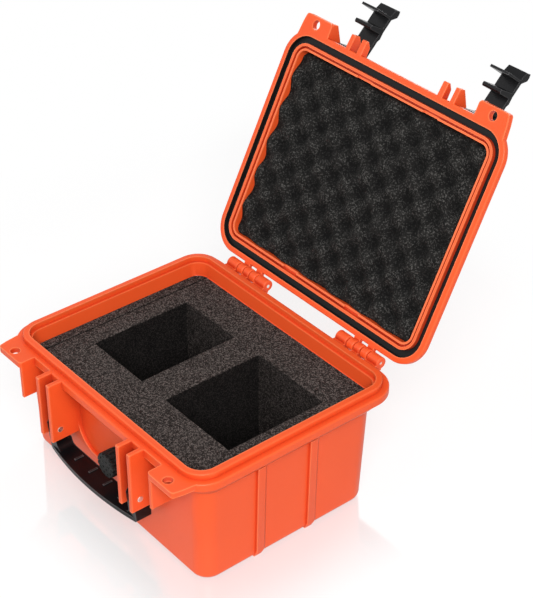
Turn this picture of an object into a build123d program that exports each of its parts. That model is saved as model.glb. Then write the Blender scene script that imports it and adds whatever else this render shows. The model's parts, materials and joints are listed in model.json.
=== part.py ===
from build123d import *
import math
import os

os.makedirs("parts", exist_ok=True)

# Rugged plastic storage case with a hinged lid, shown open with its latches swung out. Millimetres.
# +X is to the right seen from the front, the front with the latches and the handle faces -Y, +Z is up.
# The origin lies on the surface that the case stands on, under the middle of its mouth.

# Mouth: the raised tongue round the opening, which the lid's seal closes on
mouth_half_x = 120.0
mouth_half_y = 92.8
mouth_radius = 15.0
tongue_thick = 5.4
tongue_rise = 5.2
tongue_round = 1.0

# Base flange round the mouth, and the skirt that slopes from it to the walls
flange_top = 108.8
flange_thick = 7.8
flange_reach = 11.0
flange_round = 1.4
skirt_drop = 9.4

# Base body: how far its foot lies inside the mouth, and how much wider it gets up to the flange
side_in = 0.4
front_in = 2.8
back_in = 14.2
foot_radius = 15.0
foot_round = 6.5
side_spread = 3.4
front_spread = 1.8
back_spread = 4.1
wall = 6.0
floor_thick = 3.6

# Inside of the mouth: a narrow ledge, then a wall that tapers down to the foam
ledge_rise = 0.4
ledge_width = 2.4
rim_taper = 1.2
foam_drop = 12.0
step_drop = 7.2

# Ribs on the side walls
rib_width = 14.4
rib_flat = 7.0
rib_proud = 2.2
rib_front_place = 50.9
rib_back_place = 103.3
rib_foot_in = 3.4

# Padlock ears at the two front corners
ear_inner = 87.6
ear_corner_in = 11.6
ear_flare = 1.8
ear_corner = 3.0
ear_reach = 12.8
ear_thick = 5.2
ear_round = 8.0
ear_slant_in = 8.6
ear_hole_radius = 4.2
ear_hole_in = 25.8
ear_hole_reach = 5.8
ear_web_thick = 3.6
ear_web_drop = 35.6
ear_web_in = 1.2

# Front brackets of the base, which carry the handle
bracket_reach = 12.4
bracket_drop = 57.2
bracket_thick = 4.2
bracket_inner = 46.2
bracket_slot = 10.2
edge_round = 0.7

# Finger recess in the front wall, between the brackets
recess_depth = 3.2
recess_drop = 68.6
recess_corner = 22.0

# Carrying handle, hanging on two pins
handle_pin_radius = 2.5
handle_pin_reach = 4.4
handle_pin_drop = 46.6
handle_pin_proud = 0.3
handle_arm = 9.0
handle_boss_radius = 4.0
handle_back_in = 8.4
handle_foot_in = 2.4
handle_bow = 6.0
handle_drop = 73.4
handle_thick = 3.6
handle_inner_round = 6.0
handle_outer_round = 1.6
grip_ridge_width = 1.8
grip_ridge_proud = 0.8
grip_ridge_end = 3.0
grip_ridge_shares = (-0.51, -0.17, 0.17, 0.51)

# Vent valve in the front wall
valve_x = 12.6
valve_drop = 48.8
valve_shank_radius = 5.0
valve_seal_radius = 8.4
valve_seal_thick = 1.2
valve_flange_radius = 9.0
valve_flange_thick = 2.2
valve_spigot_radius = 6.0
valve_spigot_long = 6.7
valve_tail = 6.0
valve_vent_radius = 1.5
valve_nut_flats = 16.0
valve_nut_thick = 4.6
valve_membrane_radius = 4.4
valve_membrane_thick = 0.6
knob_radius = 11.1
knob_long = 13.5
knob_flute_radius = 1.3
knob_flutes = 14
knob_stud_radius = 1.0
knob_stud_proud = 0.5
knob_stud_ring_shares = (0.36, 0.72)
knob_stud_counts = (5, 10)
knob_round = 0.9

# Hinges: knuckles on the back edges of base and lid, with a steel pin through each set
hinge_gap = 1.2
knuckle_radius = 5.2
knuckle_round = 0.9
knuckle_count = 5
hinge_outer = 99.0
knuckle_end_long = 14.0
knuckle_long = 8.3
hinge_pin_radius = 1.5
hinge_web_thick = 6.4

# Lid, in its closed place
rim_gap = 1.6
lid_flange_thick = 5.8
shoulder_reach = 8.6
shoulder_rise = 3.9
shoulder_slope = 2.4
dome_in_x = 1.0
dome_in_y = 1.5
dome_radius = 16.5
dome_round = 12.0
lid_height = 28.2
lid_top_thick = 3.6
lid_inner_round = 7.0
groove_clear_out = 0.5
groove_clear_in = 0.45
groove_depth = 7.2
ridge_thick = 2.4
ridge_channel = 1.9
ridge_channel_deep = 4.2
lip_thick = 1.8
lip_set_back = 0.9
lip_notch_long = 17.3
lip_notch_drop = 3.4
lip_notch_shares = (-0.272, 0.386)

# Lid brackets at the front, and the pivot of the latches
latch_pivot_in = 3.6
latch_pivot_rise = 14.8
latch_pin_radius = 1.5
lid_bracket_reach = 12.8
lid_bracket_rise = 19.4
lid_bracket_front = 7.6
lid_bracket_slope = 15.9
lid_bracket_root_in = 3.5
lid_bracket_inner_thick = 5.0
lid_bracket_inner_rise = 8.2
lid_bracket_inner_front = 4.4
lid_bracket_inner_slope = 5.0
lid_bracket_inner_round = 1.2
keeper_inset = 1.2

# Latch, as a profile about its pivot when closed
latch_side_gap = 1.2
latch_boss_radius = 3.0
latch_reach = 16.6
latch_arm_thick = 3.0
latch_hook_drop = 25.1
latch_hook_thick = 3.6
latch_hook_over = 0.7
latch_blade_drop = 40.4
latch_blade_thick = 2.3
latch_blade_over = 4.7
latch_blade_sag = 1.9
latch_lip_drop = 53.6
latch_lip_out = 4.8
latch_lip_thick = 4.9
latch_web_rise = 1.2
latch_web_out = 6.0
latch_shoulder = 4.8
latch_chamfer = 1.2
latch_web_drop = 6.0
latch_web_foot = 9.6
latch_swell = 1.2
latch_swell_half = 3.0
latch_hook_sag = 1.9
latch_hook_root = 7.4
latch_lip_root = 3.8
latch_round = 0.5

# Foam: an insert with two pockets, its glued side strip, a base pad and the lid's bumpy sheet
foam_gap = 0.4
foam_pad_thick = 8.0
foam_strip_width = 11.6
foam_cut_gap = 0.3
pocket_front_wall = 48.4
pocket_back_wall = 41.2
pocket_left_wall = 33.0
pocket_right_wall = 25.2
pocket_left_inner = 19.2
pocket_right_inner = 12.4
valve_relief_clear = 2.0
lid_foam_sheet = 11.0
bump_rise = 10.5
bump_foot_radius = 10.8
bump_tip_radius = 4.0
bump_pitch_x = 16.5
bump_pitch_y = 30.4
bump_shift_y = -1.0

# Seal in the lid's groove
seal_clear = 0.1
seal_over_tongue = 0.4

# Turning angles of the pose that is modelled
lid_open_deg = 117.0
latch_open_deg = 108.0

# Clearances shared by all fits
pin_clear = 0.05
overrun = 2.0
knob_lift = 0.4

# Sizes that follow from those above
flange_half_x = mouth_half_x + flange_reach
flange_half_y = mouth_half_y + flange_reach
foot_half_x = mouth_half_x - side_in
foot_front = mouth_half_y - front_in
foot_back = mouth_half_y - back_in
ear_outer = flange_half_x - ear_corner_in
ear_tip = flange_half_y + ear_reach
ear_hole_x = flange_half_x - ear_hole_in
ear_hole_y = flange_half_y + ear_hole_reach
bracket_tip = flange_half_y + bracket_reach
lid_bracket_tip = flange_half_y + lid_bracket_reach
handle_pin_y = flange_half_y + handle_pin_reach
handle_back = flange_half_y - handle_back_in
latch_pivot_y = flange_half_y - latch_pivot_in
pocket_front = mouth_half_y - pocket_front_wall
pocket_back = mouth_half_y - pocket_back_wall
pocket_left_low = -mouth_half_x + pocket_left_wall
pocket_right_high = mouth_half_x - pocket_right_wall
flange_under = flange_top - flange_thick
skirt_foot = flange_under - skirt_drop
ledge_z = flange_top + ledge_rise
foam_top = flange_top - foam_drop
step_foot = foam_top - step_drop
tongue_top = flange_top + tongue_rise
rim_z = flange_top + rim_gap
lid_flange_top = rim_z + lid_flange_thick
lid_top = rim_z + lid_height
groove_roof = rim_z + groove_depth
lip_inner_y = mouth_half_y - groove_clear_in - ridge_thick - ridge_channel - lip_thick
latch_pivot_z = rim_z + latch_pivot_rise
hinge_y = flange_half_y + hinge_gap + knuckle_radius
hinge_z = flange_top
bracket_outer = bracket_inner + bracket_thick + bracket_slot
bracket_outer_far = bracket_outer + bracket_thick
recess_foot = flange_top - recess_drop
handle_pin_z = flange_top - handle_pin_drop
handle_foot = flange_top - handle_drop
valve_z = flange_top - valve_drop
recess_y = -foot_front - front_spread * valve_z / flange_under + recess_depth


# Outlines are (x low, x high, y low, y high, corner radius)
def outline(half_x, half_y, radius):
    return (-half_x, half_x, -half_y, half_y, radius)


def grown(shape, reach):
    x_low, x_high, y_low, y_high, radius = shape
    return (x_low - reach, x_high + reach, y_low - reach, y_high + reach, radius + reach)


mouth = outline(mouth_half_x, mouth_half_y, mouth_radius)
flange = grown(mouth, flange_reach)


def body_outline(z):
    """Outside of the base body at a height: it grows evenly from the foot to the flange."""
    share = z / flange_under
    half_x = foot_half_x + side_spread * share
    return (-half_x, half_x, -foot_front - front_spread * share, foot_back + back_spread * share, foot_radius)


def section(shape, z):
    x_low, x_high, y_low, y_high, radius = shape
    middle = Pos((x_low + x_high) / 2, (y_low + y_high) / 2, z)
    return middle * RectangleRounded(x_high - x_low, y_high - y_low, radius)


def rounded_prism(shape, z_low, z_high):
    return extrude(section(shape, z_low), z_high - z_low)


def rounded_loft(low, z_low, high, z_high):
    return loft([section(low, z_low), section(high, z_high)], ruled=True)


def block(x_low, x_high, y_low, y_high, z_low, z_high):
    middle = Pos((x_low + x_high) / 2, (y_low + y_high) / 2, (z_low + z_high) / 2)
    return middle * Box(x_high - x_low, y_high - y_low, z_high - z_low)


def side_profile(points, x_low, x_high, corner=0, edge=0):
    """A plate cut to a profile in Y and Z, between two X places, with rounded corners and edges."""
    face = make_face(Polyline(*points, close=True))
    if corner:
        face = fillet(face.vertices(), corner)
    plate = extrude(Plane.YZ.offset(x_low) * face, x_high - x_low)
    if edge:
        rims = plate.edges().filter_by(Axis.X, reverse=True)
        plate = fillet(rims, edge)
    return plate


def rod_x(radius, x_low, x_high, y, z):
    return extrude(Plane.YZ.offset(x_low) * Pos(y, z) * Circle(radius), x_high - x_low)


def disc_y(radius, x, z, y_back, y_front):
    """A round piece along Y, from its back face towards the front of the case."""
    return extrude(Plane.XZ.offset(-y_back) * Pos(x, z) * Circle(radius), y_back - y_front)


def both_sides(piece):
    return piece + mirror(piece, about=Plane.YZ)


def cavity(inset):
    """The hollow of the base, drawn in by an inset on every side, up to the ledge inside the mouth."""
    floor = rounded_floor_outline(floor_thick, inset)
    step = rounded_floor_outline(step_foot, inset)
    rim_low = grown(mouth, -ledge_width - rim_taper - inset)
    rim_high = grown(mouth, -ledge_width - inset)
    lower = rounded_loft(floor, floor_thick, step, step_foot)
    middle = rounded_loft(step, step_foot, rim_low, foam_top)
    upper = rounded_loft(rim_low, foam_top, rim_high, ledge_z)
    return lower + middle + upper


def rounded_floor_outline(z, inset):
    return grown(body_outline(z), -wall - inset)


# Base shell
def side_ribs():
    """Two upright ribs on each side wall, sharp at the front edge and sloping away behind."""
    ribs = Part()
    for place in (rib_front_place, rib_back_place):
        front = place - foot_front
        sections = []
        for z, inward in ((0, rib_foot_in), (foot_round, 0), (skirt_foot + overrun, 0)):
            wall_x = body_outline(z)[1] - inward
            points = [(wall_x - wall / 2, front), (wall_x + rib_proud, front)]
            points += [(wall_x + rib_proud, front + rib_flat), (wall_x - wall / 2, front + rib_width)]
            sections.append(Pos(0, 0, z) * make_face(Polyline(*points, close=True)))
        ribs += loft(sections, ruled=True)
    return both_sides(ribs)


def ear_plate(z_low, z_high):
    """A front corner ear with its padlock hole, on the right side."""
    points = [(ear_inner, -mouth_half_y), (ear_inner, -ear_tip), (ear_outer, -ear_tip)]
    points += [(ear_outer + ear_flare, -ear_tip + ear_slant_in), (flange_half_x - ear_round, -mouth_half_y)]
    face = make_face(Polyline(*points, close=True))
    tip_corners = face.vertices().sort_by(Axis.Y)[:2]
    face = fillet(tip_corners, ear_corner)
    plate = extrude(Pos(0, 0, z_low) * face, z_high - z_low)
    hole = Pos(ear_hole_x, -ear_hole_y, (z_low + z_high) / 2) * Cylinder(ear_hole_radius, 2 * ear_thick)
    return plate - hole


def base_front():
    """Ears, their side webs and the handle brackets, on the right side."""
    under = flange_top - ear_web_drop
    back = -foot_front - front_spread + wall / 2
    web_tip = -ear_tip + ear_web_in
    web = [(back, under), (web_tip, under), (web_tip, flange_top), (back, flange_top)]
    foot = flange_top - bracket_drop
    rib = [(back, foot), (-bracket_tip, foot), (-bracket_tip, flange_top), (back, flange_top)]
    piece = ear_plate(flange_top - ear_thick, flange_top)
    piece += side_profile(web, ear_inner, ear_inner + ear_web_thick, 0, edge_round)
    piece += side_profile(rib, bracket_inner, bracket_inner + bracket_thick, 0, edge_round)
    piece += side_profile(rib, bracket_outer, bracket_outer_far, 0, edge_round)
    return piece


def knuckle_spans(first):
    """X spans of every second knuckle of the right hinge, counted from the outer end."""
    spans = []
    high = hinge_outer
    for place in range(knuckle_count):
        long = knuckle_end_long if place in (0, knuckle_count - 1) else knuckle_long
        if place % 2 == first:
            spans.append((high - long + hinge_gap / 2, high - hinge_gap / 2))
        high -= long
    return spans


def knuckles(first, web_low, web_high):
    """Knuckles of one half of the right hinge, each on a web from the flange, bored for the pin."""
    piece = Part()
    root = flange_half_y - overrun
    for x_low, x_high in knuckle_spans(first):
        barrel = rod_x(knuckle_radius, x_low, x_high, hinge_y, hinge_z)
        barrel = fillet(barrel.edges().filter_by(GeomType.CIRCLE), knuckle_round)
        web = block(x_low, x_high, root, hinge_y, web_low, web_high)
        bore = rod_x(hinge_pin_radius + pin_clear, x_low - overrun, x_high + overrun, hinge_y, hinge_z)
        piece += barrel + web - bore
    return piece


def make_base_shell():
    body = rounded_loft(body_outline(0), 0, body_outline(flange_under), flange_under)
    body = fillet(body.faces().sort_by(Axis.Z)[0].edges(), foot_round)
    plate = rounded_prism(flange, flange_under, flange_top)
    plate = fillet(plate.faces().sort_by(Axis.Z)[-1].edges(), flange_round)
    plate = fillet(plate.faces().sort_by(Axis.Z)[0].edges(), flange_round)
    skirt_top = grown(flange, -flange_round)
    skirt = rounded_loft(body_outline(skirt_foot), skirt_foot, skirt_top, flange_under)
    tongue = rounded_prism(grown(mouth, tongue_thick), flange_under, tongue_top)
    tongue = fillet(tongue.faces().sort_by(Axis.Z)[-1].edges(), tongue_round)

    # The finger recess keeps the wall's thickness behind it, and its lower corners are wide curves
    recess_face = make_face(Polyline((-bracket_inner, recess_foot), (bracket_inner, recess_foot),
                                     (bracket_inner, skirt_foot), (-bracket_inner, skirt_foot), close=True))
    low_corners = recess_face.vertices().sort_by(Axis.Y)[:2]
    recess_face = fillet(low_corners, recess_corner)
    recess = extrude(Plane.XZ.offset(-recess_y) * recess_face, recess_depth + overrun)

    # The latches hook under the flange, so there the skirt is left out and the flange's edge is cut back
    edge_y = -flange_half_y - overrun
    under = block(bracket_outer_far, ear_inner, edge_y, -foot_front, skirt_foot - overrun, flange_under)
    edge = block(bracket_outer_far, ear_inner, edge_y, -flange_half_y + keeper_inset,
                 flange_under - overrun, flange_top + overrun)
    skirt -= both_sides(under)
    plate -= both_sides(edge)

    shell = body + side_ribs() - recess + skirt + plate + tongue
    shell += both_sides(base_front())
    web_low = flange_top - hinge_web_thick
    shell += both_sides(knuckles(0, web_low, flange_top))

    shell -= cavity(0)
    shell -= rounded_prism(mouth, ledge_z, tongue_top + overrun)
    pin_hole = rod_x(handle_pin_radius + pin_clear, bracket_inner - overrun, bracket_outer_far + overrun,
                     -handle_pin_y, handle_pin_z)
    shell -= both_sides(pin_hole)
    shell -= disc_y(valve_shank_radius + pin_clear, valve_x, valve_z, recess_y + wall, recess_y - overrun)
    return shell


# Handle and its pins
def make_handle():
    half = bracket_inner + bracket_thick + (bracket_slot + handle_arm) / 2
    arm_in = half - handle_arm
    pin_front = -handle_pin_y - handle_boss_radius
    front = pin_front + handle_foot_in
    bow_front = front - handle_bow
    band_top = handle_foot + handle_thick
    corners = [(half, front), (half, -handle_back), (-half, -handle_back), (-half, front)]
    plan = make_face([ThreePointArc(corners[3], (0, bow_front), corners[0]), Polyline(*corners)])
    band = extrude(Pos(0, 0, handle_foot) * plan, handle_thick)
    arm = [(pin_front, handle_pin_z), (-handle_pin_y + handle_boss_radius, handle_pin_z),
           (-handle_back, band_top + handle_inner_round), (-handle_back, handle_foot), (front, handle_foot)]
    arm_plate = side_profile(arm, arm_in, half)
    arm_plate += rod_x(handle_boss_radius, arm_in, half, -handle_pin_y, handle_pin_z)
    handle = band + both_sides(arm_plate)
    for z, radius in ((band_top, handle_inner_round), (handle_foot, handle_outer_round)):
        corners = handle.edges().filter_by(Axis.Y).filter_by_position(Axis.Z, z - pin_clear, z + pin_clear)
        handle = fillet(corners, radius)
    ridge_front = front + grip_ridge_end
    for share in grip_ridge_shares:
        middle = share * half
        ridge = block(middle - grip_ridge_width / 2, middle + grip_ridge_width / 2, ridge_front,
                      -handle_back - grip_ridge_end, band_top - grip_ridge_proud, band_top + grip_ridge_proud)
        handle += ridge
    bore_radius = handle_pin_radius + pin_clear
    bore = rod_x(bore_radius, arm_in - overrun, half + overrun, -handle_pin_y, handle_pin_z)
    return handle - both_sides(bore)


def make_handle_pin():
    pin = rod_x(handle_pin_radius, bracket_inner - handle_pin_proud, bracket_outer_far + handle_pin_proud,
                -handle_pin_y, handle_pin_z)
    return fillet(pin.edges().filter_by(GeomType.CIRCLE), handle_pin_proud)


# Vent valve
valve_seal_front = recess_y - valve_seal_thick
valve_flange_front = valve_seal_front - valve_flange_thick
valve_spigot_front = valve_flange_front - valve_spigot_long
nut_reach = valve_nut_flats / math.sqrt(3)
nut_front = -foot_front - front_spread * (valve_z - nut_reach) / flange_under + wall + pin_clear
valve_tail_back = nut_front + valve_tail


def make_valve_seal():
    ring = disc_y(valve_seal_radius, valve_x, valve_z, recess_y, valve_seal_front)
    return ring - disc_y(valve_shank_radius + pin_clear, valve_x, valve_z, recess_y + overrun,
                         valve_seal_front - overrun)


def make_valve_body():
    piece = disc_y(valve_shank_radius, valve_x, valve_z, valve_tail_back, valve_seal_front)
    piece += disc_y(valve_flange_radius, valve_x, valve_z, valve_seal_front, valve_flange_front)
    piece += disc_y(valve_spigot_radius, valve_x, valve_z, valve_flange_front, valve_spigot_front)
    return piece - disc_y(valve_vent_radius, valve_x, valve_z, valve_tail_back + overrun,
                          valve_spigot_front - overrun)


def make_valve_nut():
    face = Pos(valve_x, valve_z) * RegularPolygon(nut_reach, 6)
    nut = extrude(Plane.XZ.offset(-nut_front - valve_nut_thick) * face, valve_nut_thick)
    bore_back = nut_front + valve_nut_thick + overrun
    return nut - disc_y(valve_shank_radius + pin_clear, valve_x, valve_z, bore_back, nut_front - overrun)


def make_valve_membrane():
    back = valve_tail_back + valve_membrane_thick
    return disc_y(valve_membrane_radius, valve_x, valve_z, back, valve_tail_back)


def make_valve_knob():
    back = valve_flange_front - knob_lift
    front = back - knob_long
    knob = disc_y(knob_radius, valve_x, valve_z, back, front)
    knob = fillet(knob.edges().filter_by(GeomType.CIRCLE), knob_round)
    for flute in range(knob_flutes):
        angle = 2 * math.pi * flute / knob_flutes
        x = valve_x + knob_radius * math.cos(angle)
        z = valve_z + knob_radius * math.sin(angle)
        knob -= disc_y(knob_flute_radius, x, z, back + overrun, front - overrun)
    for ring, count in zip(knob_stud_ring_shares, knob_stud_counts):
        for stud in range(count):
            angle = 2 * math.pi * stud / count
            x = valve_x + ring * knob_radius * math.cos(angle)
            z = valve_z + ring * knob_radius * math.sin(angle)
            knob += disc_y(knob_stud_radius, x, z, front + knob_stud_proud, front - knob_stud_proud)
    return knob - disc_y(valve_spigot_radius + pin_clear, valve_x, valve_z, back + overrun,
                         valve_spigot_front - knob_lift)


# Lid, modelled closed and then opened about the hinge
def opened(piece):
    return piece.rotate(Axis((0, hinge_y, hinge_z), (1, 0, 0)), -lid_open_deg)


def lid_bracket(x_low, x_high, front, slope, rise, corner=0):
    """A front plate of the lid: upright at its tip, sloping back towards the top of the lid."""
    back = -mouth_half_y + lid_bracket_root_in
    tip = -lid_bracket_tip
    high = rim_z + rise
    points = [(back, rim_z), (-flange_half_y, rim_z), (tip, rim_z + rim_gap)]
    points += [(tip, rim_z + front), (tip + slope, high), (back, high)]
    return side_profile(points, x_low, x_high, corner, edge_round)


def lid_front():
    """The lid's ear with its web and the two brackets beside the latch, on the right side."""
    tall = (lid_bracket_front, lid_bracket_slope, lid_bracket_rise)
    low = (lid_bracket_inner_front, lid_bracket_inner_slope, lid_bracket_inner_rise)
    piece = ear_plate(rim_z, rim_z + ear_thick)
    piece += lid_bracket(ear_inner, ear_inner + ear_web_thick, *tall)
    piece += lid_bracket(bracket_outer - edge_round, bracket_outer_far, *tall)
    piece += lid_bracket(bracket_inner - edge_round, bracket_inner + lid_bracket_inner_thick, *low,
                         lid_bracket_inner_round)
    return piece


def make_lid_shell():
    plate = rounded_prism(flange, rim_z, lid_flange_top)
    plate = fillet(plate.faces().sort_by(Axis.Z)[-1].edges(), flange_round)
    plate = fillet(plate.faces().sort_by(Axis.Z)[0].edges(), flange_round)
    shoulder_low = grown(mouth, shoulder_reach)
    shoulder_high = grown(shoulder_low, -shoulder_slope)
    shoulder_foot = lid_flange_top - flange_round
    shoulder = rounded_loft(shoulder_low, shoulder_foot, shoulder_high, lid_flange_top + shoulder_rise)
    dome_shape = outline(mouth_half_x - dome_in_x, mouth_half_y - dome_in_y, dome_radius)
    dome = rounded_prism(dome_shape, rim_z + flange_round, lid_top)
    dome = fillet(dome.faces().sort_by(Axis.Z)[-1].edges(), dome_round)

    groove_out = grown(mouth, tongue_thick + groove_clear_out)
    groove_in = grown(mouth, -groove_clear_in)
    groove = rounded_prism(groove_out, rim_z - overrun, groove_roof)
    groove -= rounded_prism(groove_in, rim_z - overrun, groove_roof)
    channel_out = grown(groove_in, -ridge_thick)
    channel_in = grown(channel_out, -ridge_channel)
    groove += rounded_prism(channel_out, rim_z - overrun, rim_z + ridge_channel_deep)
    groove -= rounded_prism(channel_in, rim_z - overrun, rim_z + ridge_channel_deep)
    hollow = rounded_prism(grown(channel_in, -lip_thick), rim_z - overrun, lid_top - lid_top_thick)
    hollow = fillet(hollow.faces().sort_by(Axis.Z)[-1].edges(), lid_inner_round)
    lip_cut = rounded_prism(grown(channel_in, ridge_channel / 2), rim_z - overrun, rim_z + lip_set_back)

    lid = plate + shoulder + dome
    lid += both_sides(lid_front() + knuckles(1, rim_z, hinge_z + knuckle_radius))
    lid = lid - groove - hollow - lip_cut
    lid -= lip_notches()
    hole_end = ear_inner + ear_web_thick + overrun
    hole_radius = latch_pin_radius + pin_clear
    hole = rod_x(hole_radius, bracket_outer - overrun, hole_end, -latch_pivot_y, latch_pivot_z)
    return lid - both_sides(hole)


def lip_notches():
    """Notches through the edge of the lid's inner lip, along the front and the back."""
    back = lip_inner_y + lip_thick + ridge_channel / 2
    half = lip_notch_long / 2
    notches = Part()
    for share in lip_notch_shares:
        middle = share * mouth_half_x
        notches += block(middle - half, middle + half, lip_inner_y - overrun, back,
                         rim_z - overrun, rim_z + lip_notch_drop)
    return notches + mirror(notches, about=Plane.XZ)


def make_lid_seal():
    outer = grown(mouth, tongue_thick + groove_clear_out - seal_clear)
    inner = grown(mouth, -groove_clear_in + seal_clear)
    low = tongue_top + seal_over_tongue
    hole = rounded_prism(inner, low - overrun, groove_roof + overrun)
    return rounded_prism(outer, low, groove_roof) - hole


def make_hinge_pin():
    inner_end = knuckle_spans(0)[-1][0]
    return rod_x(hinge_pin_radius, inner_end, hinge_outer - hinge_gap, hinge_y, hinge_z)


def make_latch_pin():
    outer_end = ear_inner + ear_web_thick
    return rod_x(latch_pin_radius, bracket_outer - edge_round, outer_end, -latch_pivot_y, latch_pivot_z)


def make_lid_foam():
    """Convoluted foam: a sheet against the lid's ceiling with staggered rows of bumps."""
    edge = grown(mouth, lip_inner_y - mouth_half_y - foam_gap)
    ceiling = lid_top - lid_top_thick - foam_gap
    sheet_face = ceiling - lid_foam_sheet
    low_edge = grown(edge, -lid_inner_round)
    sheet = rounded_loft(edge, sheet_face, low_edge, ceiling)
    columns = math.ceil(2 * edge[1] / bump_pitch_x)
    rows = math.ceil(edge[3] / bump_pitch_y)
    bumps = Part()
    for column in range(columns):
        x = -edge[1] + column * bump_pitch_x
        for row in range(-rows, rows + 1):
            y = bump_shift_y + row * bump_pitch_y + (column % 2) * bump_pitch_y / 2
            if abs(y) > edge[3]:
                continue
            middle = Pos(x, y, sheet_face - bump_rise / 2)
            bumps += middle * Cone(bump_tip_radius, bump_foot_radius, bump_rise)
    trim = rounded_prism(edge, sheet_face - bump_rise - overrun, sheet_face)
    return sheet + (bumps & trim)


# Latches, modelled closed, then swung open on the lid
def latch_profile():
    """Points of the closed latch about its pivot: web, arm, finger lip, blade and hook."""
    arm_out = -latch_reach
    arm_in = arm_out + latch_arm_thick
    hook_foot = -latch_hook_drop - latch_hook_thick
    swell = (-latch_hook_drop + hook_foot) / 2
    blade_foot = -latch_blade_drop - latch_blade_thick
    lip_out = arm_out - latch_lip_out
    lip_face = lip_out + latch_chamfer + latch_lip_thick
    web = [(0, latch_boss_radius), (-latch_web_out, latch_web_rise)]
    web += [(arm_out + latch_shoulder, latch_web_rise), (arm_out + latch_chamfer, -latch_chamfer)]
    arm = [(arm_out, -latch_shoulder), (arm_out, swell + 2 * latch_swell_half)]
    arm += [(arm_out - latch_swell, swell + latch_swell_half), (arm_out, swell - latch_swell_half)]
    lip = [(arm_out, blade_foot), (lip_out, blade_foot - latch_lip_out)]
    lip += [(lip_out, -latch_lip_drop + latch_swell_half), (lip_out + latch_chamfer, -latch_lip_drop)]
    lip += [(lip_face, -latch_lip_drop + latch_chamfer), (arm_in, blade_foot - latch_lip_root)]
    blade = [(arm_in, blade_foot - latch_blade_sag), (latch_blade_over, blade_foot)]
    blade += [(latch_blade_over, -latch_blade_drop), (arm_in, -latch_blade_drop - latch_blade_sag)]
    hook = [(arm_in, -latch_hook_drop - latch_hook_root), (latch_hook_over, hook_foot)]
    hook += [(latch_hook_over, -latch_hook_drop - latch_chamfer)]
    hook += [(latch_hook_over - latch_chamfer, -latch_hook_drop)]
    hook += [(arm_in, -latch_hook_drop - latch_hook_sag)]
    root = [(arm_in, -latch_web_foot), (arm_in + latch_arm_thick, -latch_web_drop), (0, -latch_boss_radius)]
    return web + arm + lip + blade + hook + root


def make_latch():
    x_low = bracket_outer_far + latch_side_gap
    x_high = ear_inner - latch_side_gap
    points = [(y - latch_pivot_y, z + latch_pivot_z) for y, z in latch_profile()]
    latch = side_profile(points, x_low, x_high)
    latch += rod_x(latch_boss_radius, x_low, x_high, -latch_pivot_y, latch_pivot_z)
    latch = fillet(latch.edges().filter_by(Axis.X, reverse=True), latch_round)
    hole_radius = latch_pin_radius + pin_clear
    return latch - rod_x(hole_radius, x_low - overrun, x_high + overrun, -latch_pivot_y, latch_pivot_z)


def swung_out(latch):
    return latch.rotate(Axis((0, -latch_pivot_y, latch_pivot_z), (1, 0, 0)), -latch_open_deg)


# Foam of the base
def make_foam():
    """The insert with its two pockets, and the strip glued along its left side."""
    hollow = cavity(foam_gap)
    pad_top = floor_thick + foam_pad_thick
    reach_x = flange_half_x
    reach_y = flange_half_y
    insert = hollow & block(-reach_x, reach_x, -reach_y, reach_y, pad_top, foam_top)
    for x_low, x_high in ((pocket_left_low, -pocket_left_inner), (pocket_right_inner, pocket_right_high)):
        insert -= block(x_low, x_high, -pocket_front, pocket_back, pad_top - overrun, foam_top + overrun)
    relief = disc_y(nut_reach + valve_relief_clear, valve_x, valve_z,
                    valve_tail_back + valve_membrane_thick + valve_relief_clear, -flange_half_y)
    insert -= relief
    seam = -mouth_half_x + ledge_width + rim_taper + foam_strip_width
    main = insert & block(seam, reach_x, -reach_y, reach_y, pad_top, foam_top)
    strip = insert & block(-reach_x, seam - foam_cut_gap, -reach_y, reach_y, pad_top, foam_top)
    pad = hollow & block(-reach_x, reach_x, -reach_y, reach_y, floor_thick, pad_top)
    return main, strip, pad


foam_insert, foam_side_strip, foam_base_pad = make_foam()
handle_pin = make_handle_pin()
hinge_pin = make_hinge_pin()
latch_pin = opened(make_latch_pin())
latch = opened(swung_out(make_latch()))

nodes = {
    "base_shell": make_base_shell(),
    "foam_insert": foam_insert,
    "foam_side_strip": foam_side_strip,
    "foam_base_pad": foam_base_pad,
    "handle_pin_right": handle_pin,
    "handle_pin_left": mirror(handle_pin, about=Plane.YZ),
    "carry_handle": make_handle(),
    "valve_seal": make_valve_seal(),
    "valve_body": make_valve_body(),
    "valve_nut": make_valve_nut(),
    "valve_membrane": make_valve_membrane(),
    "valve_knob": make_valve_knob(),
    "lid_shell": opened(make_lid_shell()),
    "lid_seal": opened(make_lid_seal()),
    "lid_foam": opened(make_lid_foam()),
    "hinge_pin_right": hinge_pin,
    "hinge_pin_left": mirror(hinge_pin, about=Plane.YZ),
    "latch_pin_right": latch_pin,
    "latch_pin_left": mirror(latch_pin, about=Plane.YZ),
    "latch_right": latch,
    "latch_left": mirror(latch, about=Plane.YZ),
}

for name, shape in nodes.items():
    export_step(shape, f"parts/{name}.step")
    print(name, "volume", round(shape.volume), "solids", len(shape.solids()))
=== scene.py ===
# %% [markdown]
# # A foam-lined storage case, standing open
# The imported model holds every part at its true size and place. This lesson keeps the hard parts and gives
# each one its finish. It models the foam pieces and the lid's seal anew, finer than the CAD has them, and
# then lights and frames the case.
# All lengths are in metres. +X is to the right seen from the front, the front faces -Y, and +Z is up.

# %% Load the frame
import bmesh
import bpy
import json
import math
from mathutils import Matrix, Vector, noise


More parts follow.
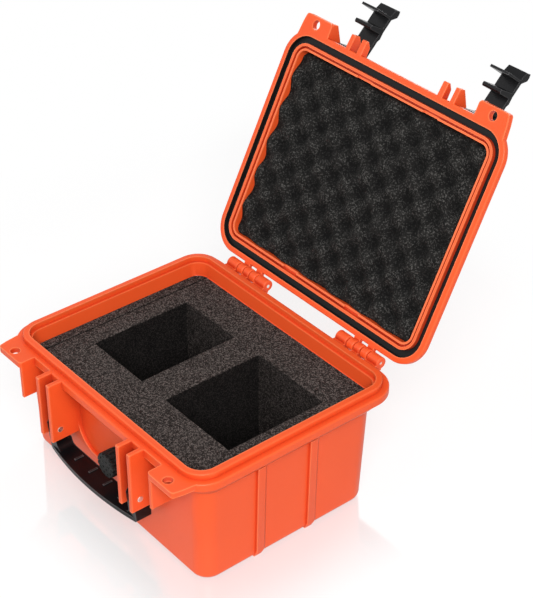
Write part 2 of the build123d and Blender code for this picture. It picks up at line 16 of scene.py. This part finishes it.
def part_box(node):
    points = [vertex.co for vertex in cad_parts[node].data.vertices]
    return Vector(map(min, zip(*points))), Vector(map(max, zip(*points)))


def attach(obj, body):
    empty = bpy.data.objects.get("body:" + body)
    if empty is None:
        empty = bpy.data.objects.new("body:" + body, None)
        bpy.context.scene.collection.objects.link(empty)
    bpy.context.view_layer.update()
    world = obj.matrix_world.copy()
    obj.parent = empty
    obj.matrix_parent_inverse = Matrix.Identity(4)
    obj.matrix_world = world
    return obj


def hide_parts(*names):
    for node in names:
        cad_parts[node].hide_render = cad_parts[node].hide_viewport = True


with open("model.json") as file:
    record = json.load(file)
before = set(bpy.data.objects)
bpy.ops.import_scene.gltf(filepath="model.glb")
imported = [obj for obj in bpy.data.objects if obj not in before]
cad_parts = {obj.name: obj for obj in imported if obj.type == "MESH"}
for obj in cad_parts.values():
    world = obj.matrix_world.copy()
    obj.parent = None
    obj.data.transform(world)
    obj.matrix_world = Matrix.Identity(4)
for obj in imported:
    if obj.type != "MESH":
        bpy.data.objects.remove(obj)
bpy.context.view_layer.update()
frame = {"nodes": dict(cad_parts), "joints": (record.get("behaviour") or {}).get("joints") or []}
nodes = frame["nodes"]
MM = 0.001
print("parts in the frame:", len(nodes))

# %% [markdown]
# ## Formulas in place of node diagrams
# A finish is a small network of nodes, and most of it is arithmetic. Drawn by hand, each plus and each
# multiply is a node of its own, and the thought behind it is soon lost. So a socket is wrapped in a class
# whose operators add the Math nodes, and `1 - mask` can be written as it is meant. Every other kind of node
# comes from one method, which sets the node first and joins its sockets afterwards.

# %% The signal and the finish
class Signal:
    """An output of a node that arithmetic can be done on."""

    def __init__(self, network, socket):
        self.network = network
        self.socket = socket

    def maths(self, operation, *values):
        return self.network.node("Math", {"operation": operation}, dict(enumerate(values)))

    def __add__(self, other):
        return self.maths("ADD", self, other)

    def __sub__(self, other):
        return self.maths("SUBTRACT", self, other)

    def __rsub__(self, other):
        return self.maths("SUBTRACT", other, self)

    def __mul__(self, other):
        return self.maths("MULTIPLY", self, other)

    def __or__(self, other):
        """The larger of the two."""
        return self.maths("MAXIMUM", self, other)

    __radd__ = __add__
    __rmul__ = __mul__
    __ror__ = __or__

    def __abs__(self):
        return self.maths("ABSOLUTE", self)

    def ramp(self, low, high):
        """0 below low and 1 above high, smooth in between."""
        ends = {"Value": self, "From Min": low, "From Max": high}
        return self.network.node("MapRange", {"interpolation_type": "SMOOTHSTEP"}, ends)

    def beside(self, output):
        """Another output of the same node."""
        return Signal(self.network, self.socket.node.outputs[output])


class Network:
    """The nodes of a material or of the world."""

    def __init__(self, tree):
        self.tree = tree

    def node(self, kind, settings=None, inputs=None, output=0):
        made = self.tree.nodes.new("ShaderNode" + kind)
        for name, value in (settings or {}).items():
            setattr(made, name, value)
        for key, value in (inputs or {}).items():
            if isinstance(value, Signal):
                self.tree.links.new(value.socket, made.inputs[key])
            else:
                made.inputs[key].default_value = value
        return Signal(self, made.outputs[output])

    def join(self, signal, name, socket):
        self.tree.links.new(signal.socket, self.tree.nodes[name].inputs[socket])

    def seen(self):
        """1 for what the camera sees, also in a mirror or through glass, and 0 for what only lights."""
        path = self.node("LightPath")
        return path | path.beside("Is Glossy Ray") | path.beside("Is Transmission Ray")


class Finish(Network):
    """A material with one Principled shader, whose fixed numbers are given by name."""

    def __init__(self, name, **fixed):
        self.material = bpy.data.materials.new(name)
        self.material.use_nodes = True
        super().__init__(self.material.node_tree)
        self.shader = self.tree.nodes["Principled BSDF"]
        for socket, value in fixed.items():
            self.shader.inputs[socket.replace("_", " ")].default_value = value
        self.place = self.node("TexCoord", output="Object")

    def feed(self, socket, signal):
        self.join(signal, "Principled BSDF", socket)

    def noise(self, size, detail=2.0, stretch=(1, 1, 1)):
        """Cloudy noise with features of about this size in metres."""
        stretched = self.node("Mapping", None, {"Vector": self.place, "Scale": stretch})
        settings = {"Vector": stretched, "Scale": 1 / size, "Detail": detail}
        return self.node("TexNoise", None, settings)

    def cells(self, size):
        """Distance to the nearest of many points about this far apart in metres."""
        return self.node("TexVoronoi", None, {"Vector": self.place, "Scale": 1 / size})

    def hollow(self, reach, inside=False):
        """1 in a corner shut in by nearby surfaces and 0 in the open, or with inside set, 1 on an edge that
        stands out.
        """
        settings = {"samples": 8, "inside": inside, "only_local": True}
        return 1 - self.node("AmbientOcclusion", settings, {"Distance": reach}, "AO")

    def along(self, vector, direction):
        """How far a vector reaches in a direction."""
        return self.node("VectorMath", {"operation": "DOT_PRODUCT"}, {0: vector, 1: direction}, "Value")

    def under(self, surface, outward):
        """How far a point lies below a flat surface, in metres."""
        return surface - self.along(self.place, outward)

    def chance(self, cells):
        """A number from 0 to 1, another one in each cell."""
        return self.node("SeparateColor", None, {"Color": cells.beside("Color")})

    def mix(self, share, colour, other):
        return self.node("Mix", {"data_type": "RGBA"}, {0: share, 6: colour, 7: other}, 2)

    def bump(self, height, depth):
        """A relief whose height signal of 0 to 1 stands for this depth in metres."""
        relief = {"Height": height, "Distance": depth, "Strength": 1.0}
        self.feed("Normal", self.node("Bump", None, relief))

    def put_on(self, *pieces):
        for piece in pieces:
            piece.data.materials.clear()
            piece.data.materials.append(self.material)


def colour(red, green, blue):
    return (red, green, blue, 1.0)


print("formula class ready")

# %% [markdown]
# ## Helpers for new shapes
# Each new mesh goes the same way from the mesh editor to the scene. A closed solid has two faces at every
# edge, so counting the other edges shows whether a cut has left a hole.

# %% New meshes and objects
def mesh_from(form, name):
    """A mesh with this name from an edited form, which is freed."""
    mesh = bpy.data.meshes.new(name)
    form.to_mesh(mesh)
    form.free()
    return mesh


def linked(name, data):
    """A new object in the scene."""
    made = bpy.data.objects.new(name, data)
    bpy.context.scene.collection.objects.link(made)
    return made


def count_open(form):
    """How many edges don't have exactly two faces."""
    return len([edge for edge in form.edges if not edge.is_manifold])


print("mesh helpers ready")

# %% [markdown]
# ## The moulded orange shell
# Base and lid are injection moulded in a tough orange plastic with a fine spark-eroded grain. The colour
# runs all the way through, so only a slight cloudiness and the grain break it up. The edges are coloured
# paler, partly as the polish of handling and partly as a painted highlight where a rounded edge catches the
# light. The grooves and corners get painted shade, a deeper, redder tone where less light reaches. Ambient
# Occlusion finds both: traced outwards it finds the hollows, and traced inwards it finds the edges that stand
# out.

# %% Finish of the shell
ORANGE = colour(0.81, 0.086, 0.017)
CLOUDY_ORANGE = colour(0.87, 0.102, 0.021)
CORNER_PAINTED_SHADE = colour(0.42, 0.014, 0.004)
RUBBED_AND_HIGHLIT_ORANGE = colour(0.98, 0.26, 0.10)
SHELL_CLOUD = 60 * MM
SHELL_GRAIN = 0.7 * MM
SHELL_RELIEF = 0.05 * MM
CORNER_REACH = 22 * MM
CORNER_SHADE_SHARE = 0.75
SHELL_EDGE = 1.8 * MM
SHELL_WEAR_AND_HIGHLIGHT = 0.7


def shell_finish():
    finish = Finish("shell_orange", Specular_IOR_Level=0.3)
    cloud = finish.noise(SHELL_CLOUD, 3.0)
    grain = finish.noise(SHELL_GRAIN, 2.0)
    body = finish.mix(cloud, ORANGE, CLOUDY_ORANGE)
    # Painted shade: corners and grooves that Ambient Occlusion finds shut in are coloured a deeper red.
    painted_shade = finish.hollow(CORNER_REACH).ramp(0.10, 0.75)
    # Partly wear and partly painted highlight: the edges that stand out are coloured paler.
    wear_and_highlight = finish.hollow(SHELL_EDGE, inside=True).ramp(0.05, 0.6)
    body = finish.mix(painted_shade * CORNER_SHADE_SHARE, body, CORNER_PAINTED_SHADE)
    finish.feed("Base Color", finish.mix(wear_and_highlight * SHELL_WEAR_AND_HIGHLIGHT, body, RUBBED_AND_HIGHLIT_ORANGE))
    finish.feed("Roughness", 0.34 + 0.12 * grain + 0.05 * cloud)
    finish.bump(grain, SHELL_RELIEF)
    return finish


shell = shell_finish()
shell.put_on(nodes["base_shell"], nodes["lid_shell"])
print("shell nodes:", len(shell.tree.nodes))

# %% [markdown]
# ## Black plastics, rubber and steel
# The latches and the handle are glass-filled nylon: nearly black, with their edges coloured grey, partly as
# wear and partly as a painted highlight where the sheen would show the light along every edge. The vent knob
# is duller and mottled. The seal is soft rubber, and the pins are drawn wire.

# %% Finishes of the fittings
NYLON_BLACK = colour(0.0025, 0.0025, 0.003)
RUBBED_BLACK = colour(0.006, 0.006, 0.007)
EDGE_WEAR_AND_HIGHLIGHT_GREY = colour(0.11, 0.11, 0.112)
NYLON_EDGE = 1.2 * MM
NYLON_WEAR_AND_HIGHLIGHT = 0.8
KNOB_BLACK = colour(0.006, 0.006, 0.006)
KNOB_MOTTLE = colour(0.026, 0.026, 0.025)
RUBBER_BLACK = colour(0.006, 0.005, 0.005)
RUBBER_BLOOM = colour(0.011, 0.010, 0.010)
STEEL = colour(0.66, 0.65, 0.63)
DRAWN_STEEL = colour(0.88, 0.87, 0.86)
ALONG_X = (0.05, 1, 1)
FILM_GREY = colour(0.66, 0.66, 0.65)
FILM_WHITE = colour(0.82, 0.82, 0.81)


def nylon_finish(name, roughness):
    finish = Finish(name, Specular_IOR_Level=0.16)
    grain = finish.noise(0.5 * MM, 2.0)
    rubbed = finish.noise(9 * MM, 3.0)
    # Partly wear and partly painted highlight: the edges that stand out are coloured grey.
    wear_and_highlight = finish.hollow(NYLON_EDGE, inside=True).ramp(0.08, 0.6)
    body = finish.mix(rubbed, NYLON_BLACK, RUBBED_BLACK)
    finish.feed("Base Color", finish.mix(wear_and_highlight * NYLON_WEAR_AND_HIGHLIGHT, body, EDGE_WEAR_AND_HIGHLIGHT_GREY))
    finish.feed("Roughness", roughness + 0.10 * grain + 0.06 * rubbed)
    finish.bump(grain, 0.03 * MM)
    return finish


def knob_finish():
    finish = Finish("valve_black", Specular_IOR_Level=0.15)
    mottle = finish.noise(1.8 * MM, 3.0)
    finish.feed("Base Color", finish.mix(mottle.ramp(0.35, 0.7), KNOB_BLACK, KNOB_MOTTLE))
    finish.feed("Roughness", 0.42 + 0.2 * mottle)
    finish.bump(mottle, 0.12 * MM)
    return finish


def rubber_finish():
    finish = Finish("seal_rubber", Specular_IOR_Level=0.2)
    bloom = finish.noise(14 * MM, 3.0)
    grain = finish.noise(0.6 * MM)
    finish.feed("Base Color", finish.mix(bloom, RUBBER_BLACK, RUBBER_BLOOM))
    finish.feed("Roughness", 0.50 + 0.15 * bloom)
    finish.bump(grain, 0.04 * MM)
    return finish


def wire_finish():
    finish = Finish("pin_steel", Metallic=1.0)
    drawn = finish.noise(0.4 * MM, 2.0, ALONG_X)
    finish.feed("Base Color", finish.mix(drawn, STEEL, DRAWN_STEEL))
    finish.feed("Roughness", 0.26 + 0.16 * drawn)
    finish.bump(drawn, 0.01 * MM)
    return finish


def film_finish():
    finish = Finish("membrane_white")
    weave = finish.noise(0.3 * MM, 3.0)
    finish.feed("Base Color", finish.mix(weave, FILM_GREY, FILM_WHITE))
    finish.feed("Roughness", 0.7 + 0.2 * weave)
    return finish


nylon_finish("latch_black", 0.22).put_on(nodes["latch_right"], nodes["latch_left"])
nylon_finish("handle_black", 0.24).put_on(nodes["carry_handle"])
knob_finish().put_on(nodes["valve_knob"], nodes["valve_body"], nodes["valve_nut"])
rubber = rubber_finish()
rubber.put_on(nodes["lid_seal"], nodes["valve_seal"])
film_finish().put_on(nodes["valve_membrane"])
wire_finish().put_on(*[piece for name, piece in nodes.items() if "_pin_" in name])
print("finishes so far:", len(bpy.data.materials))

# %% [markdown]
# ## Smooth shading on the kept parts
# The kept parts arrive as loose triangles. A Weld modifier joins them, Edge Split keeps the corners crisp,
# and smooth faces in between make the rounded edges run as one curve. No point of a mesh is moved.

# %% Smooth the kept parts
CREASE = math.radians(28)
WELD_REACH = 0.002 * MM


def shade(piece):
    for face in piece.data.polygons:
        face.use_smooth = True
    weld = piece.modifiers.new("join", "WELD")
    weld.merge_threshold = WELD_REACH
    split = piece.modifiers.new("crisp", "EDGE_SPLIT")
    split.split_angle = CREASE


for piece in nodes.values():
    shade(piece)
print("smoothed parts:", len(nodes))

# %% [markdown]
# ## Open-cell foam
# The foam is polyurethane, black-brown when new. Up close it is a net of tiny cells, and here and there the
# wall of a cell catches the light as a pale speck. Those specks are what the eye reads as foam, so each cell
# of a Voronoi pattern gets its own chance of being pale. The saw leaves faint upright lines on the cut walls,
# which a noise drawn out along Z gives. Below its own top the foam is coloured darker with the depth, as
# painted shade in the pockets and in the lid's dips, and in the pockets the walls that face the front are
# coloured paler again, as painted light falling from the front.

# %% Finish of the foam
LID_JOINT = next(joint for joint in frame["joints"] if joint["name"] == "lid_hinge")
HINGE = Vector(LID_JOINT["pos_m"])
OPEN = math.radians(LID_JOINT["range_deg"][1])
to_open = Matrix.Translation(HINGE) @ Matrix.Rotation(-OPEN, 4, "X") @ Matrix.Translation(-HINGE)
to_closed = to_open.inverted()
FOAM_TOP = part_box("foam_insert")[1][2]
INSERT_SHADES = (colour(0.013, 0.010, 0.009), colour(0.030, 0.025, 0.023), colour(0.140, 0.116, 0.107))
LID_SHADES = (colour(0.008, 0.008, 0.0076), colour(0.020, 0.019, 0.018), colour(0.090, 0.087, 0.082))
POCKET_PAINTED_SHADE = colour(0.002, 0.002, 0.002)
DIP_PAINTED_SHADE = colour(0.003, 0.003, 0.003)
FOAM_CELL = 0.85 * MM
FOAM_PORE = 2.1 * MM
FOAM_CLOUD = 7 * MM
FOAM_RELIEF = 0.7 * MM
SAW_LINE = 1.6 * MM
ALONG_Z = (1, 1, 0.03)
WALL_SHADE_SHARE = 0.84
FRONT_WALL_PAINTED_LIGHT = 0.34
DIP_SHADE_SHARE = 0.80


def foam_finish(name, shades, rarity):
    """The bare finish, and its colour before the painted shade of depth is added."""
    dark, pale, speck = shades
    finish = Finish(name, Roughness=0.95, Specular_IOR_Level=0.1)
    cells = finish.cells(FOAM_CELL)
    cloud = finish.noise(FOAM_CLOUD, 3.0)
    sawn = finish.noise(SAW_LINE, 2.0, ALONG_Z)
    body = finish.mix((0.55 * cloud + 0.45 * sawn).ramp(0.32, 0.68), dark, pale)
    specks = finish.chance(cells).ramp(rarity, 1.0)
    finish.bump(0.6 * cells + 0.4 * finish.cells(FOAM_PORE), FOAM_RELIEF)
    return finish, finish.mix(specks, body, speck)


def insert_finish():
    finish, body = foam_finish("foam_dark", INSERT_SHADES, rarity=0.44)
    to_front = finish.along(finish.node("NewGeometry", output="Normal"), (0, -1, 0))
    # Painted shade: the foam is coloured darker below its top, less on walls facing the front, which get
    # painted light.
    painted_shade = finish.under(FOAM_TOP, (0, 0, 1)).ramp(0.1 * MM, 1.5 * MM)
    share = painted_shade * (WALL_SHADE_SHARE - FRONT_WALL_PAINTED_LIGHT * to_front.ramp(0.5, 0.9))
    finish.feed("Base Color", finish.mix(share, body, POCKET_PAINTED_SHADE))
    return finish


def lid_foam_finish():
    finish, body = foam_finish("lid_foam_dark", LID_SHADES, rarity=0.66)
    outward = to_open.to_3x3() @ Vector((0, 0, -1))
    tips = max(outward.dot(vertex.co) for vertex in nodes["lid_foam"].data.vertices)
    # Painted shade: the dips between the peaks are coloured darker the deeper they lie behind the tips.
    painted_shade = finish.under(tips, outward).ramp(-0.5 * MM, 6.5 * MM)
    finish.feed("Base Color", finish.mix(painted_shade * DIP_SHADE_SHARE, body, DIP_PAINTED_SHADE))
    return finish


insert_foam = insert_finish()
lid_sheet_foam = lid_foam_finish()
print("foam nodes:", len(insert_foam.tree.nodes), len(lid_sheet_foam.tree.nodes))

# %% [markdown]
# ## The insert, its side strip and the pad
# The insert is one block cut to the cavity with two deep pockets. Its outline must fit the shell to a
# fraction of a millimetre, so each piece starts from the solid it replaces: the copy is merged, its flat
# faces are joined up again, and the edges get a small round. The seam beside the strip was cut last: its
# edges stay sharp, and it gapes a little in the middle and closes at the walls.

# %% Foam pieces cut from their solids
EDGE_ROUND = 0.7 * MM
SEAM_GAP = 1.5 * MM
SEAM_REACH = 1.5 * SEAM_GAP
SHARP = math.radians(30)
FLAT = math.radians(2)
SAME_POINT = 0.01 * MM
TINY = 0.1 * MM
CUT_SPACING = 4.0 * MM
WAVER = 0.45 * MM
WAVER_SIZE = 7.0 * MM
OTHER_NOISE = Vector((9, 9, 9))
FROM_WALL = 3.0 * MM
FOAM_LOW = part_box("foam_side_strip")[0]
FOAM_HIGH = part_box("foam_insert")[1]
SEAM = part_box("foam_insert")[0][0]


def put_in_place(mesh, body, stands_for, finish):
    """A piece that moves with a body and takes the place of one of its nodes."""
    piece = linked(mesh.name, mesh)
    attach(piece, body)
    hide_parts(stands_for)
    finish.put_on(piece)
    return piece


def sharp_edges(form):
    return [edge for edge in form.edges if edge.is_manifold and edge.calc_face_angle() > SHARP]


def divide(edge, spacing):
    """Adds evenly spaced points to one edge, so that the cut along it can waver."""
    corner = edge.verts[0]
    for left in range(round(edge.calc_length() / spacing), 1, -1):
        edge, corner = bmesh.utils.edge_split(edge, corner, 1 / left)
        edge = next(item for item in corner.link_edges if item != edge)


def clear_of_walls(vertex):
    """Whether a point is more than a little way in from the shell's walls."""
    return all(FOAM_LOW[i] + FROM_WALL < vertex.co[i] < FOAM_HIGH[i] - FROM_WALL for i in (0, 1))


def rounded_edges(form):
    """The sharp edges, except those of the seam."""
    return [edge for edge in sharp_edges(form)
            if max(abs(vertex.co.x - SEAM) for vertex in edge.verts) > SEAM_REACH]


def waver(form, top):
    """Moves the points of the inner top cuts a little to and fro, as a hand-guided blade does."""
    for vertex in form.verts:
        if vertex.co.z > top - 2 * EDGE_ROUND and clear_of_walls(vertex):
            place = Vector((vertex.co.x, vertex.co.y, 0)) / WAVER_SIZE
            vertex.co += WAVER * Vector((noise.noise(place), noise.noise(place + OTHER_NOISE), 0))


def cut_foam(node, name, seam_gap=0.0):
    """A foam piece from its solid; its right side may stand back, where a loose strip was cut off."""
    form = bmesh.new()
    form.from_mesh(nodes[node].data)
    bmesh.ops.remove_doubles(form, verts=form.verts, dist=SAME_POINT)
    bmesh.ops.dissolve_limit(form, angle_limit=FLAT, verts=form.verts, edges=form.edges)
    top = max(vertex.co.z for vertex in form.verts)
    right = max(vertex.co.x for vertex in form.verts)
    for edge in sharp_edges(form):
        if min(vertex.co.z for vertex in edge.verts) > top - EDGE_ROUND:
            divide(edge, CUT_SPACING)
    for vertex in form.verts:
        if vertex.co.x > right - TINY and clear_of_walls(vertex):
            vertex.co.x -= seam_gap
    bmesh.ops.bevel(form, geom=rounded_edges(form), offset=EDGE_ROUND, segments=2, profile=0.5,
                    affect="EDGES", material=-1)
    waver(form, top)
    bmesh.ops.dissolve_degenerate(form, dist=TINY, edges=form.edges)
    for face in form.faces:
        face.smooth = False
    open_edges = count_open(form)
    mesh = mesh_from(form, name)
    put_in_place(mesh, "base", node, insert_foam)
    print(name, "faces", len(mesh.polygons), "open edges", open_edges)


cut_foam("foam_insert", "insert_foam")
cut_foam("foam_side_strip", "strip_foam", SEAM_GAP)
cut_foam("foam_base_pad", "pad_foam")

# %% [markdown]
# ## The egg-crate foam in the lid
# Convoluted foam is cut by squeezing a slab between fingered rollers, which leaves rounded peaks and dips
# in a staggered pattern. The product of two cosines is just that surface, a little calmer at the walls, where
# the sheet is pressed in. At the latch side and at the right its edge is tucked in deeper, under the lid's
# ridge. It is made flat in the closed lid's own frame, where the formula is simple, and turned about the
# hinge afterwards.

# %% The lid's foam
SHEET_STEP = 1.6 * MM
PEAK_PITCH_X = 33.0 * MM
PEAK_PITCH_Y = 30.4 * MM
PEAK_SHIFT_Y = -1.0 * MM
SHEET_CORNER = 8.6 * MM
WALL_ROOM = 0.3 * MM
BACK_ROOM = 0.5 * MM
TIP_RISE = 0.9 * MM
SWING = 3.6 * MM
WALL_SWING = 0.70
WALL_CALM = 12.0 * MM
TUCK = 5.0 * MM
TUCK_REACH = 7.0 * MM
TUCK_ROOM = 2.0 * MM
RIPPLE = 0.5 * MM
RIPPLE_SIZE = 5.0 * MM


def closed_box(node):
    """Lowest and highest corner of a lid part with the lid shut."""
    points = [to_closed @ vertex.co for vertex in nodes[node].data.vertices]
    low = Vector([min(point[i] for point in points) for i in range(3)])
    high = Vector([max(point[i] for point in points) for i in range(3)])
    return low, high


def round_corner(x, y, half_x, half_y):
    """Draws a point beyond a rounded corner in to its arc."""
    inner_x = half_x - SHEET_CORNER
    inner_y = half_y - SHEET_CORNER
    over = Vector((max(abs(x) - inner_x, 0), max(abs(y) - inner_y, 0)))
    if over.x == 0 or over.y == 0 or over.length <= SHEET_CORNER:
        return x, y
    over = over.normalized() * SHEET_CORNER
    return math.copysign(inner_x + over.x, x), math.copysign(inner_y + over.y, y)


def behind_tips(x, y, half_x, half_y):
    """How far the sheet's bumpy face lies behind the tips of its peaks at a point."""
    wave_x = math.cos(2 * math.pi * (x + half_x) / PEAK_PITCH_X)
    wave_y = math.cos(2 * math.pi * (y - PEAK_SHIFT_Y) / PEAK_PITCH_Y)
    from_wall = min(half_x - abs(x), half_y - abs(y))
    swing = SWING * (WALL_SWING + (1 - WALL_SWING) * min(from_wall / WALL_CALM, 1.0))
    rough = RIPPLE * noise.noise(Vector((x, y, 0)) / RIPPLE_SIZE)
    tuck = TUCK * max(1 - min(half_x - x, half_y + y) / TUCK_REACH, 0) ** 2
    return swing * (1 - wave_x * wave_y) + rough + tuck


def lid_foam():
    low, high = closed_box("lid_foam")
    half_x = high.x - WALL_ROOM
    half_y = high.y - WALL_ROOM
    tip = low.z - TIP_RISE
    back = high.z - BACK_ROOM
    form = bmesh.new()
    columns = round(2 * half_x / SHEET_STEP)
    rows = round(2 * half_y / SHEET_STEP)
    bmesh.ops.create_grid(form, x_segments=columns, y_segments=rows, size=1.0)
    for vertex in form.verts:
        x, y = round_corner(vertex.co.x * half_x, vertex.co.y * half_y, half_x, half_y)
        vertex.co = (x, y, min(tip + behind_tips(x, y, half_x, half_y), back - TUCK_ROOM))
    rim = [edge for edge in form.edges if edge.is_boundary]
    grown = bmesh.ops.extrude_edge_only(form, edges=rim)["geom"]
    for vertex in [item for item in grown if isinstance(item, bmesh.types.BMVert)]:
        vertex.co.z = back
    bmesh.ops.holes_fill(form, edges=[edge for edge in form.edges if edge.is_boundary], sides=0)
    bmesh.ops.recalc_face_normals(form, faces=form.faces)
    for face in form.faces:
        face.smooth = True
    bmesh.ops.transform(form, matrix=to_open, verts=form.verts)
    mesh = mesh_from(form, "lid_foam_sheet")
    put_in_place(mesh, "lid", "lid_foam", lid_sheet_foam)
    print("lid foam faces", len(mesh.polygons))


lid_foam()

# %% [markdown]
# ## The seal and its side lip
# The seal lies in the lid's groove, where the raised rim of the base presses on it, and a thin lip of it
# lines the groove's outer wall, so that the groove looks black from every side. The ring's open face is
# inset, which gives a narrow strip along each of its two outlines, and the outer strip is drawn up to a lip.

# %% The lid's seal
SEAL_LIP = 0.25 * MM
SEAL_LIP_TALL = 3.6 * MM


def hanging_together(start, faces):
    """The faces among these that can be reached from one of them across shared edges."""
    found = {start}
    waiting = [start]
    while waiting:
        for edge in waiting.pop().edges:
            for face in edge.link_faces:
                if face in faces and face not in found:
                    found.add(face)
                    waiting.append(face)
    return list(found)


def lid_seal():
    form = bmesh.new()
    form.from_mesh(nodes["lid_seal"].data)
    bmesh.ops.remove_doubles(form, verts=form.verts, dist=SAME_POINT)
    bmesh.ops.transform(form, matrix=to_closed, verts=form.verts)
    form.normal_update()
    low = min(vertex.co.z for vertex in form.verts)
    open_side = [face for face in form.faces if face.calc_center_median().z < low + TINY]
    strips = bmesh.ops.inset_region(form, faces=open_side, thickness=SEAL_LIP, use_boundary=True,
                                    use_even_offset=True)["faces"]
    outermost = max(strips, key=lambda face: face.calc_center_median().x)
    outer_strip = hanging_together(outermost, set(strips))
    grown = bmesh.ops.extrude_face_region(form, geom=outer_strip)["geom"]
    raised = [item for item in grown if isinstance(item, bmesh.types.BMVert)]
    bmesh.ops.delete(form, geom=outer_strip, context="FACES")
    bmesh.ops.translate(form, verts=raised, vec=(0, 0, -SEAL_LIP_TALL))
    bmesh.ops.recalc_face_normals(form, faces=form.faces)
    bmesh.ops.transform(form, matrix=to_open, verts=form.verts)
    open_edges = count_open(form)
    mesh = mesh_from(form, "lid_seal_ring")
    shade(put_in_place(mesh, "lid", "lid_seal", rubber))
    print("seal faces", len(mesh.polygons), "open edges", open_edges)


lid_seal()

# %% [markdown]
# ## Camera
# The case is seen from its right front corner and well above. The camera's place, its turn and its focal
# length were found by fitting straight edges of the case, and the small shifts keep its axis off centre
# as it is in the picture.

# %% Camera
AZIMUTH = math.radians(50.65)
ELEVATION = math.radians(34.53)
CAMERA_PLACE = (0.8959, -0.6575, 0.9284)
FOCAL_PIXELS = 1693.7
LONG_SIDE_PIXELS = 598
SENSOR = 36.0
CAMERA_SHIFT = (-0.01046, 0.00573)


def photo_camera():
    back = Vector((math.sin(AZIMUTH) * math.cos(ELEVATION), -math.cos(AZIMUTH) * math.cos(ELEVATION),
                   math.sin(ELEVATION)))
    data = bpy.data.cameras.new("photo_camera")
    data.sensor_width = SENSOR
    data.lens = SENSOR * FOCAL_PIXELS / LONG_SIDE_PIXELS
    data.shift_x, data.shift_y = CAMERA_SHIFT
    camera = linked("photo_camera", data)
    camera.rotation_mode = "QUATERNION"
    camera.rotation_quaternion = (-back).to_track_quat("-Z", "Y")
    camera.location = CAMERA_PLACE
    bpy.context.scene.camera = camera
    return data.lens


print("lens", round(photo_camera(), 1), "mm")

# %% [markdown]
# ## Light
# A product picture is lit by large soft sources, so that no shadow has a hard edge. One soft box stands high
# on the right, weaker ones on the left and low behind lift the shaded sides, and a pale surround does the
# rest. The surround is pure white only to the camera and to reflections, so the case isn't washed out by it.

# %% Lamps and surround
CASE_MIDDLE = Vector((0, 0.05, 0.12))
WHITE = colour(1, 1, 1)
SURROUND = 0.36


def soft_box(name, direction, distance, size, watts):
    """A round lamp that faces the middle of the case from a direction."""
    data = bpy.data.lights.new(name, "AREA")
    data.shape = "DISK"
    data.size = size
    data.energy = watts
    lamp = linked(name, data)
    towards = Vector(direction).normalized()
    lamp.location = CASE_MIDDLE + distance * towards
    lamp.rotation_mode = "QUATERNION"
    lamp.rotation_quaternion = (-towards).to_track_quat("-Z", "Y")


def surround(strength):
    """A world of this strength, which the camera and mirrors see as pure white."""
    world = bpy.data.worlds.new("studio")
    bpy.context.scene.world = world
    world.use_nodes = True
    air = Network(world.node_tree)
    air.join(air.seen() * (1 - strength) + strength, "Background", "Strength")
    world.node_tree.nodes["Background"].inputs["Color"].default_value = WHITE


soft_box("key_light", (0.61, -0.48, 0.63), distance=2.1, size=1.1, watts=44)
soft_box("fill_light", (-0.55, -0.60, 0.60), distance=2.2, size=1.4, watts=6)
soft_box("back_light", (-0.40, 0.85, 0.24), distance=2.2, size=1.0, watts=18)
surround(SURROUND)
print("lamps:", len(bpy.data.lights))

# %% [markdown]
# ## Floor
# The case stands on glossy white board: it hides in the white of the picture and mirrors the case faintly,
# less and less with distance. The board is white to the camera and to mirrors and only pale grey to other
# light, so it throws little extra light on the case. Part of its white is a glow, and all of it far from the
# case, so the picture's edge is white while the case's shadow stays. A real board mirrors everywhere, but in
# the picture only the strip beside the case shows it, so the gloss fades with the distance from the foot.

# %% Floor
FLOOR_HALF = 4.0
FLOOR_GREY = colour(0.45, 0.45, 0.45)
FOOT_HALF = (0.120, 0.086)
MIRROR_REACH = 0.09
MIRROR_SHARE = 0.26
MIRROR_ROUGHNESS = 0.06
GLOW_SHARE = 0.74
GLOW_REACH = 0.40


def floor_finish():
    finish = Finish("floor_white", Roughness=0.7)
    seen = finish.seen()
    finish.feed("Base Color", finish.mix(seen, FLOOR_GREY, WHITE))
    glow = finish.node("Emission", None, {"Color": WHITE, "Strength": 1.0})
    mirror = finish.node("BsdfGlossy", None, {"Color": WHITE, "Roughness": MIRROR_ROUGHNESS})
    board = Signal(finish, finish.shader.outputs[0])
    place = finish.node("SeparateXYZ", None, {"Vector": finish.place})
    past = (abs(place) - FOOT_HALF[0]) | (abs(place.beside("Y")) - FOOT_HALF[1])
    share = past.ramp(MIRROR_REACH, GLOW_REACH) | GLOW_SHARE
    lit = finish.node("MixShader", None, {0: seen * share, 1: board, 2: glow})
    near = 1 - past.ramp(0.0, MIRROR_REACH)
    gloss = finish.node("MixShader", None, {0: near * MIRROR_SHARE, 1: lit, 2: mirror})
    finish.join(gloss, "Material Output", "Surface")
    return finish


def floor():
    form = bmesh.new()
    bmesh.ops.create_grid(form, x_segments=1, y_segments=1, size=FLOOR_HALF)
    board = linked("floor", mesh_from(form, "floor"))
    floor_finish().put_on(board)


floor()
print("floor nodes:", len(bpy.data.materials["floor_white"].node_tree.nodes))

# %% [markdown]
# ## Finish
# The colours are shown as they are, through the standard view transform.

# %% Finish
bpy.context.scene.view_settings.view_transform = "Standard"
